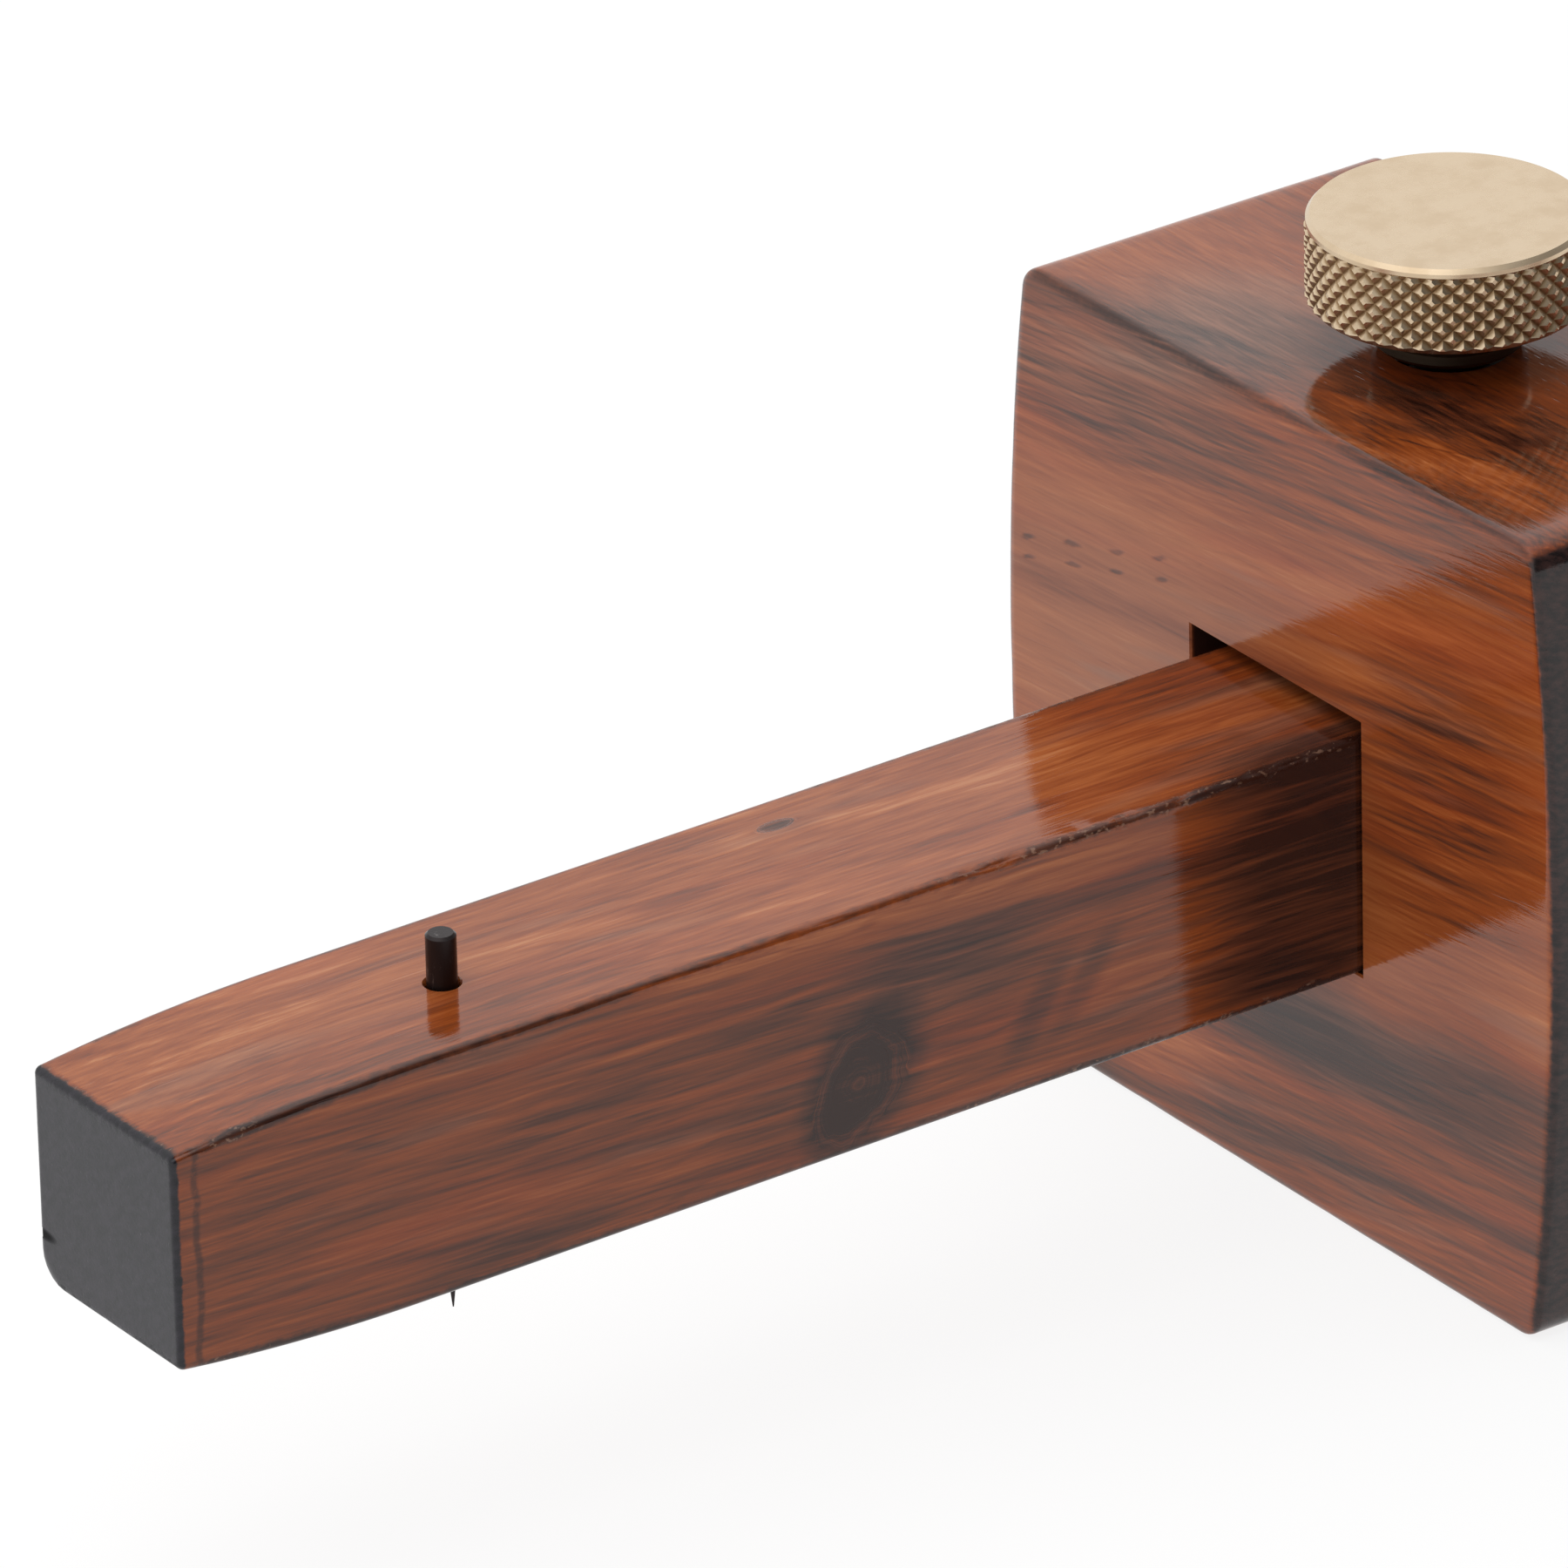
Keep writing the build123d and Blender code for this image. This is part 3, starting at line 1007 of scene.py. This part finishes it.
    def _mortise(self) -> Mesh:
        """The beam's hole, with its mouths eased.

        Returns:
            The shape to cut away.
        """
        reach = self.thickness / 2
        bm = block((2 * reach + 2.0, self.mortise_width, self.mortise_height))
        slice_at(bm, Axis.X, (self.mouth_chamfer - reach, reach - self.mouth_chamfer))
        ends = [v for v in bm.verts if abs(v.co.x) > reach]
        grown = 2 * (self.mouth_chamfer + 1.0)
        scale = (1.0, 1.0 + grown / self.mortise_width, 1.0 + grown / self.mortise_height)
        bmesh.ops.scale(bm, vec=scale, verts=ends)
        return moved(bm, (0, 0, self.height / 2))

    def _rod(self, radius: float, bottom: float, top: float) -> Mesh:
        """A plain upright cylinder on the thumbscrew's axis."""
        return lathe(((0.0, bottom), (radius, bottom), (radius, top), (0.0, top)))


@dataclass
class Beam:
    """The hardwood bar that carries the pin, eased in at both ends and worn along its arrises."""

    centre: Point = (-16.35, -0.85, 30.65)
    length: float = 200.0
    width: float = 18.0
    height: float = 18.8
    arris: float = 0.6
    back_arris: float = 2.8
    end_radius: float = 0.5
    easing_length: float = 20.0
    end_drop: float = 1.1
    end_pinch: float = 0.35
    pin_axis: Pair = (-88.25, -1.05)
    pin_radius: float = 1.1
    hole_rim: float = 0.3
    fine_until: float = 8.0
    chip_reach: float = 1.6
    worn: tuple[Pair, ...] = ((-52.0, -19.0), (-119.0, -112.0))

    def build(self) -> Mesh:
        """Shapes the bar.

        Returns:
            Its mesh.
        """
        half = self.length / 2
        bm = block((self.length, self.width, self.height))
        rounds = (0.15, 0.3, 0.45, 0.6, 0.9, 1.4, 2.1, 2.8)
        slice_at(bm, Axis.Y, edge_places(self.width / 2, rounds, 1.5))
        slice_at(bm, Axis.Z, edge_places(self.height / 2, rounds, 1.5))
        insets = (0.12, 0.25, 0.38, self.end_radius, self.easing_length)
        slice_at(bm, Axis.X, [s * (half - inset) for s in (-1, 1) for inset in insets])
        slice_at(bm, Axis.X, (self.fine_until,))
        end, eased = half - self.end_radius, half - self.easing_length
        places = (-end, -eased, self.fine_until, eased, end)
        for low, high, step in zip(places, places[1:], (0.5, 0.6, 3.0, 1.5)):
            divide_band(bm, Axis.X, low, high, step)
        reshape(bm, self._rounded)
        moved(bm, self.centre)
        bm = carve(bm, self._notch())
        return carve(bm, self._pin_hole())

    def dress(self, bm: Mesh) -> None:
        """Gives the bar its finish and its place in the frame."""
        side, top = self.centre[1] - self.width / 2, self.centre[2] + self.height / 2
        front = self.centre[0] - self.length / 2
        wood = Rosewood(
            name="beam_rosewood", grain=Axis.X, centre=self.centre,
            half=(self.length / 2, self.width / 2, self.height / 2), lean=(0.03, 0.55, 0.80),
            bands=(
                Band(4.0, 0.48, 0.85), Band(14.0, 0.50, 0.85), Band(19.0, 0.43, 0.85),
                Band(24.0, 0.56, 0.9), Band(26.5, 0.68, 0.95), Band(31.0, 0.72, 0.95),
                Band(44.0, 0.62, 0.9),
            ),
            easing=self.end_drop, drift=3.0,
            knots=(
                Knot(Axis.Y, side, (-59.3, 26.6), (4.5, 5.2), 9.0, 0.56, 0.90),
                Knot(Axis.Z, top, (-56.2, 4.4), (1.9, 0.8), 5.0, 0.16, 1.0),
            ),
            blots=(
                Blot((-56.4, side, 30.2), (3.6, 3.0, 3.0), -0.15),
                Blot((-44.0, side, 27.6), (2.3, 3.0, 4.4), -0.22, lean=0.6),
                Blot((-39.8, side, 28.6), (2.1, 3.0, 4.8), -0.20, lean=0.7),
                Blot((-51.0, side, 34.0), (11.0, 3.0, 5.5), -0.12, 0.2),
                Blot((-67.0, side, 23.4), (10.0, 4.0, 4.4), -0.16),
                Blot((-86.0, side, 22.6), (16.0, 4.0, 2.8), -0.18),
                Blot((-72.0, side, 31.5), (9.0, 3.0, 3.0), 0.08),
                Blot((-94.0, side, 33.5), (12.0, 3.0, 3.5), 0.10),
                # Painted shadow: the fence's shadow on the beam's near side, next to the fence.
                Blot((-20.5, side, 30.0), (11.0, 4.0, 34.0), -0.44),
                Blot((-22.0, -1.0, top), (13.0, 14.0, 3.0), -0.22),
                Blot((-68.0, -0.7, top), (4.5, 1.5, 2.0), -0.22),
                Blot((-64.6, 6.2, top), (6.5, 1.8, 2.0), -0.18),
                Blot((-54.6, 3.7, top), (2.6, 1.1, 2.0), -0.18),
                Blot((-59.6, 4.0, top), (2.6, 1.4, 2.0), 0.14),
                Blot((-104.0, 1.0, top), (9.0, 2.2, 3.0), 0.10),
            ),
            worn=self.worn,
            split=Blot((front + 0.6, side + self.width - 1.0, 26.1), (2.2, 2.0, 0.62), 0.0),
        )
        add_piece("beam", bm, "beam", wood)

    def _rounded(self, point: Vector) -> Vector:
        """Where a point of the plain bar lands once it is rounded, worn and eased at its ends."""
        half = Vector((self.length, self.width, self.height)) / 2
        corner = self.back_arris if point.y > 0 > point.z else self.arris
        shaped, _, core = rounded(point, half, corner, self.end_radius)
        shaped += (core - Vector((0.0, shaped.y, shaped.z))).normalized() * self._chip(point, half)
        inset = half.x - abs(point.x)
        ease = max(0.0, 1.0 - inset / self.easing_length) ** 2
        shaped.y *= 1.0 - ease * self.end_pinch / half.y
        shaped.z *= 1.0 - ease * self.end_drop / half.z
        return shaped

    def _chip(self, point: Vector, half: Vector) -> float:
        """How much wood has come away at a point.

        Args:
            point: A point of the plain bar.
            half: Half the bar's sizes.

        Returns:
            The depth, which is 0 away from the arrises.
        """
        near = (half.y - abs(point.y)) + (half.z - abs(point.z))
        if near > self.chip_reach or not point.y < 0 < point.z:
            return 0.0
        x = point.x + self.centre[0]
        ragged = 0.42 if any(low < x < high for low, high in self.worn) else 0.14
        chipped = noise.fractal(Vector((point.x * 0.42, point.y * 0.9, point.z * 0.9)), 1.0, 2.0, 3)
        return max(0.0, chipped + 0.08) * 0.55 * ragged * (1.0 - near / self.chip_reach)

    def _notch(self) -> Mesh:
        """The small split in the -X end's far arris.

        Returns:
            The shape to cut away.
        """
        bm = block((1.6, 2.8, 1.15))
        inner = [v for v in bm.verts if v.co.y < 0]
        bmesh.ops.scale(bm, vec=(0.6, 1.0, 0.15), verts=inner)
        front = self.centre[0] - self.length / 2
        side = self.centre[1] + self.width / 2
        return moved(bm, (front + 0.7, side - 1.1, 26.1))

    def _pin_hole(self) -> Mesh:
        """The pin's hole, whose upper rim is broken out a little.

        Returns:
            The shape to cut away.
        """
        top = self.centre[2] + self.height / 2
        bottom = top - self.height
        snug = self.pin_radius + 0.02
        outline = (
            (0.0, bottom - 1.0), (snug, bottom - 1.0), (snug, top - 0.45),
            (snug + self.hole_rim, top + 0.02), (snug + self.hole_rim, top + 1.0), (0.0, top + 1.0),
        )
        return moved(lathe(outline, 48), (*self.pin_axis, 0.0))


@dataclass
class ScribingPin:
    """The steel pin, flat above and ground to a needle below."""

    axis: Pair = (-88.25, -1.05)
    radius: float = 1.1
    head: float = 43.95
    tip: float = 14.65
    needle_length: float = 3.0
    needle_radius: float = 0.35
    cone_length: float = 3.4
    head_chamfer: float = 0.2

    def build(self) -> Mesh:
        """Turns the pin.

        Returns:
            Its mesh.
        """
        shoulder = self.tip + self.needle_length
        outline = (
            (0.0, self.tip), (0.05, self.tip + 0.02),
            (self.needle_radius * 0.55, self.tip + self.needle_length * 0.45),
            (self.needle_radius, shoulder), (self.radius * 0.72, shoulder + self.cone_length * 0.55),
            (self.radius, shoulder + self.cone_length), (self.radius, self.head - self.head_chamfer),
            (self.radius - self.head_chamfer, self.head), (self.radius * 0.5, self.head),
            (0.0, self.head),
        )
        return moved(lathe(outline, 48), (*self.axis, 0.0))

    def dress(self, bm: Mesh) -> None:
        """Gives the pin its finish and its place in the frame."""
        add_piece("scribing_pin", bm, "beam", BlackSteel("pin_steel"), 25.0)


@dataclass
class Thumbscrew:
    """The knurled brass knob on its threaded steel stud."""

    knurls: int = 43
    radius: float = 10.25
    knurl_depth: float = 0.42
    knurl_height: float = 1.46
    peak_flat: float = 0.24
    band_bottom: float = 66.85
    band_top: float = 72.3
    chamfer: float = 0.4
    top: float = 73.05
    underside: float = 66.45
    neck_radius: float = 5.6
    neck_bottom: float = 63.1
    grooves: Pair = (65.4, 64.4)
    groove_depth: float = 0.22
    stud_radius: float = 3.0
    socket_top: float = 70.1
    stud_top: float = 69.8
    shoulder: float = 42.11
    pitch: float = 1.0
    thread_depth: float = 0.5
    spigot_radius: float = 1.8
    rivet_radius: float = 2.6
    rivet: Pair = (40.33, 40.93)

    def build_knob(self) -> Mesh:
        """Knurls and turns the knob.

        Returns:
            Its mesh.
        """
        bm = self._knurled_sector()
        copies = self.knurls - 1
        spin(bm, math.tau * copies / self.knurls, copies, use_duplicate=True)
        bmesh.ops.remove_doubles(bm, verts=bm.verts, dist=2e-3)
        rim = self.radius - self.chamfer
        above = (
            (self.radius - 0.1, self.band_top + 0.12), (self.radius - 0.1, self.top - 0.32),
            (rim, self.top), (rim - 0.25, self.top), (rim * 0.5, self.top),
        )
        self._close(bm, self.band_top, above)
        below = [(rim, self.underside), (self.neck_radius + 0.25, self.underside)]
        below += [(self.neck_radius, self.underside - 0.25)]
        for groove in self.grooves:
            below += [
                (self.neck_radius, groove + self.groove_depth),
                (self.neck_radius - self.groove_depth, groove),
                (self.neck_radius, groove - self.groove_depth),
            ]
        below += [
            (self.neck_radius, self.neck_bottom + self.chamfer),
            (self.neck_radius - self.chamfer, self.neck_bottom), (self.stud_radius, self.neck_bottom),
            (self.stud_radius, self.socket_top),
        ]
        self._close(bm, self.band_bottom, below)
        bmesh.ops.recalc_face_normals(bm, faces=bm.faces)
        return bm

    def build_stud(self) -> Mesh:
        """Turns and threads the stud.

        Returns:
            Its mesh.
        """
        low, high = self.rivet
        foot = (
            (0.0, low), (self.rivet_radius - 0.3, low), (self.rivet_radius, low + 0.3),
            (self.rivet_radius, high), (self.spigot_radius, high), (self.spigot_radius, self.shoulder),
            (self.stud_radius - 0.4, self.shoulder), (self.stud_radius, self.shoulder + 0.4),
            (self.stud_radius, self.shoulder + 0.9),
            (self.stud_radius - self.thread_depth, self.shoulder + 1.3), (0.0, self.shoulder + 1.3),
        )
        shank_bottom = self.neck_bottom + 0.5
        shank = (
            (0.0, shank_bottom), (self.stud_radius, shank_bottom),
            (self.stud_radius, self.stud_top - 0.4), (self.stud_radius - 0.4, self.stud_top),
            (0.0, self.stud_top),
        )
        bm = joined(lathe(foot), self._thread(self.shoulder + 0.7, shank_bottom + 0.3))
        return joined(bm, lathe(shank))

    def dress(self, knob: Mesh, stud: Mesh) -> None:
        """Gives the knob and the stud their finishes and their places in the frame."""
        # The neck, below the knob's underside, is darkened with painted shade for the knob's shadow.
        brass = Brass(
            name="knob_brass", rim=self.radius - 0.05, groove=self.radius - 0.30,
            band=(self.band_bottom, self.band_top), shade_below=self.underside - 0.35,
        )
        add_piece("thumbscrew_knob", knob, "thumbscrew", brass, 28.0)
        steel = BlackSteel("stud_steel", tone=(0.06, 0.055, 0.05))
        add_piece("thumbscrew_stud", stud, "thumbscrew", steel, 25.0)

    def _knurled_sector(self) -> Mesh:
        """One knurl's width of the diamond band, wrapped to the knob's radius.

        Returns:
            Its mesh.
        """
        width = math.tau * self.radius / self.knurls
        height = self.band_top - self.band_bottom
        cells = 2 * math.ceil(height / self.knurl_height + 2)
        bm = bmesh.new()
        bmesh.ops.create_grid(bm, x_segments=cells, y_segments=cells, size=cells / 2)
        bmesh.ops.rotate(
            bm, cent=(0, 0, 0), matrix=Matrix.Rotation(math.radians(45), 3, "Z"), verts=bm.verts
        )
        root = math.sqrt(2)
        scale = (width / root, self.knurl_height / root, 1.0)
        bmesh.ops.scale(bm, vec=scale, verts=bm.verts)
        poked = bmesh.ops.poke(bm, faces=bm.faces, offset=self.knurl_depth)
        bmesh.ops.bevel(
            bm, geom=poked["verts"], offset=self.peak_flat, offset_type="OFFSET", segments=1,
            profile=0.5, affect="VERTICES", material=-1,
        )
        for axis, size in ((Axis.X, width), (Axis.Y, height)):
            slice_at(bm, axis, (0.0,), below=True)
            slice_at(bm, axis, (size,), above=True)
        peak = max(abs(v.co.z) for v in bm.verts)

        def wrapped(point: Vector) -> Vector:
            """Where a point of the flat band lands on the knob."""
            radius = self.radius - peak + abs(point.z)
            turn = Matrix.Rotation(math.tau * point.x / (width * self.knurls), 3, "Z")
            return turn @ Vector((radius, 0.0, self.band_bottom + point.y))

        reshape(bm, wrapped)
        return bm

    def _close(self, bm: Mesh, start: float, rings: Iterable[Pair]) -> None:
        """Carries an open rim on through rings and closes it.

        Args:
            bm: The mesh.
            start: The height of the open rim.
            rings: (radius, height) of each ring.
        """
        edges = [
            e for e in bm.edges if e.is_boundary and all(abs(v.co.z - start) < 1e-3 for v in e.verts)
        ]
        for radius, height in rings:
            grown = bmesh.ops.extrude_edge_only(bm, edges=edges)["geom"]
            for vert in (g for g in grown if isinstance(g, bmesh.types.BMVert)):
                flat = Vector((vert.co.x, vert.co.y)).normalized() * radius
                vert.co = (flat.x, flat.y, height)
            edges = [g for g in grown if isinstance(g, bmesh.types.BMEdge) and g.is_boundary]
        bmesh.ops.holes_fill(bm, edges=edges, sides=0)

    def _thread(self, bottom: float, top: float) -> Mesh:
        """The stud's thread between two heights.

        Args:
            bottom: Where it is cut off below.
            top: Where it is cut off above.

        Returns:
            A closed mesh.
        """
        steps = 28
        turns = math.ceil((top - bottom) / self.pitch) + 3
        crest = self.stud_radius
        root = crest - self.thread_depth
        flanks = ((root, 0.0), (root, 0.14), (crest, 0.44), (crest, 0.56), (root, 0.86), (root, 1.0))
        bm = wire((radius, height * self.pitch) for radius, height in flanks)
        spin(bm, math.tau * turns, steps * turns, dvec=(0, 0, self.pitch / steps))
        bmesh.ops.remove_doubles(bm, verts=bm.verts, dist=1e-3)
        moved(bm, (0, 0, bottom - 1.5 * self.pitch))
        slice_at(bm, Axis.Z, (bottom,), below=True)
        slice_at(bm, Axis.Z, (top,), above=True)
        bmesh.ops.holes_fill(bm, edges=[e for e in bm.edges if e.is_boundary], sides=0)
        bmesh.ops.recalc_face_normals(bm, faces=bm.faces)
        return bm


# ---- stage ----


@dataclass
class Studio:
    """A pale floor under a soft, even sky, and the camera."""

    floor_half: float = 3.0
    floor_tone: float = 0.16
    floor_glow: float = 0.845
    azimuth: float = -34.80
    elevation: float = 26.65
    roll: float = -1.416
    target: Point = (-52.70, 8.21, 40.70)
    distance: float = 1267.05
    lens: float = 413.57
    sensor: float = 36.0

    def build(self) -> None:
        """Lays the floor, lights it and sets the camera."""
        self._floor()
        self._sky()
        self._camera()
        bpy.context.scene.view_settings.view_transform = "Standard"

    def _floor(self) -> None:
        """Lays the floor."""
        bm = bmesh.new()
        bmesh.ops.create_grid(bm, x_segments=4, y_segments=4, size=self.floor_half)
        floor = new_object("studio_floor", bm)
        material, g = new_material("studio_floor")
        g.surface(
            {
                "Base Color": (self.floor_tone, self.floor_tone, self.floor_tone, 1.0),
                "Roughness": 0.9, "Specular IOR Level": 0.0, "Emission Color": (1.0, 1.0, 1.0, 1.0),
                "Emission Strength": self.floor_glow,
            }
        )
        floor.data.materials.append(material)

    def _sky(self) -> None:
        """Lights the scene softly from above, from behind and from the left."""
        world = bpy.data.worlds.new("studio_sky")
        world.use_nodes = True
        bpy.context.scene.world = world
        g = Graph(world.node_tree)
        x, y, z = g.parts(g.node("ShaderNodeTexCoord", {}, {}, "Generated"))
        towards = x * -0.45 + y * 0.85 + z * 0.25
        level = 0.10 + 1.0 * g.rise(towards, -0.75, 0.25)
        overhead = 1.0 + 0.6 * g.rise(z, 0.5, 1.0)
        sockets = {"Color": (1.0, 1.0, 1.0, 1.0), "Strength": level * overhead}
        g.surface(sockets, "ShaderNodeBackground")

    def _camera(self) -> None:
        """Sets the camera."""
        data = bpy.data.cameras.new("camera")
        data.lens = self.lens
        data.sensor_width = self.sensor
        data.clip_start = 0.05
        data.clip_end = 20.0
        camera = bpy.data.objects.new("camera", data)
        bpy.context.scene.collection.objects.link(camera)
        turn = (
            Matrix.Rotation(math.radians(self.azimuth), 4, "Z")
            @ Matrix.Rotation(math.radians(90.0 - self.elevation), 4, "X")
            @ Matrix.Rotation(math.radians(self.roll), 4, "Z")
        )
        place = Vector(self.target) + turn.to_3x3() @ Vector((0.0, 0.0, self.distance))
        camera.matrix_world = Matrix.Translation(place * MM) @ turn
        bpy.context.scene.camera = camera


def main() -> None:
    """Builds every piece, dresses it and sets the stage."""
    logging.basicConfig(level=logging.INFO, format="%(message)s")
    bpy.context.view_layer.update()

    fence = Fence()
    fence.dress(fence.build())
    beam = Beam()
    beam.dress(beam.build())
    pin = ScribingPin()
    pin.dress(pin.build())
    thumbscrew = Thumbscrew()
    thumbscrew.dress(thumbscrew.build_knob(), thumbscrew.build_stud())
    # The insert lies wholly below the painted shade's height, so all of it is darkened as if in the knob's
    # shadow.
    finish_node("threaded_insert", Brass("insert_brass", shade_below=65.0))
    finish_node("pressure_shoe", Brass("shoe_brass", (0.62, 0.50, 0.33)))
    Studio().build()


if __name__ == "__main__":
    main()
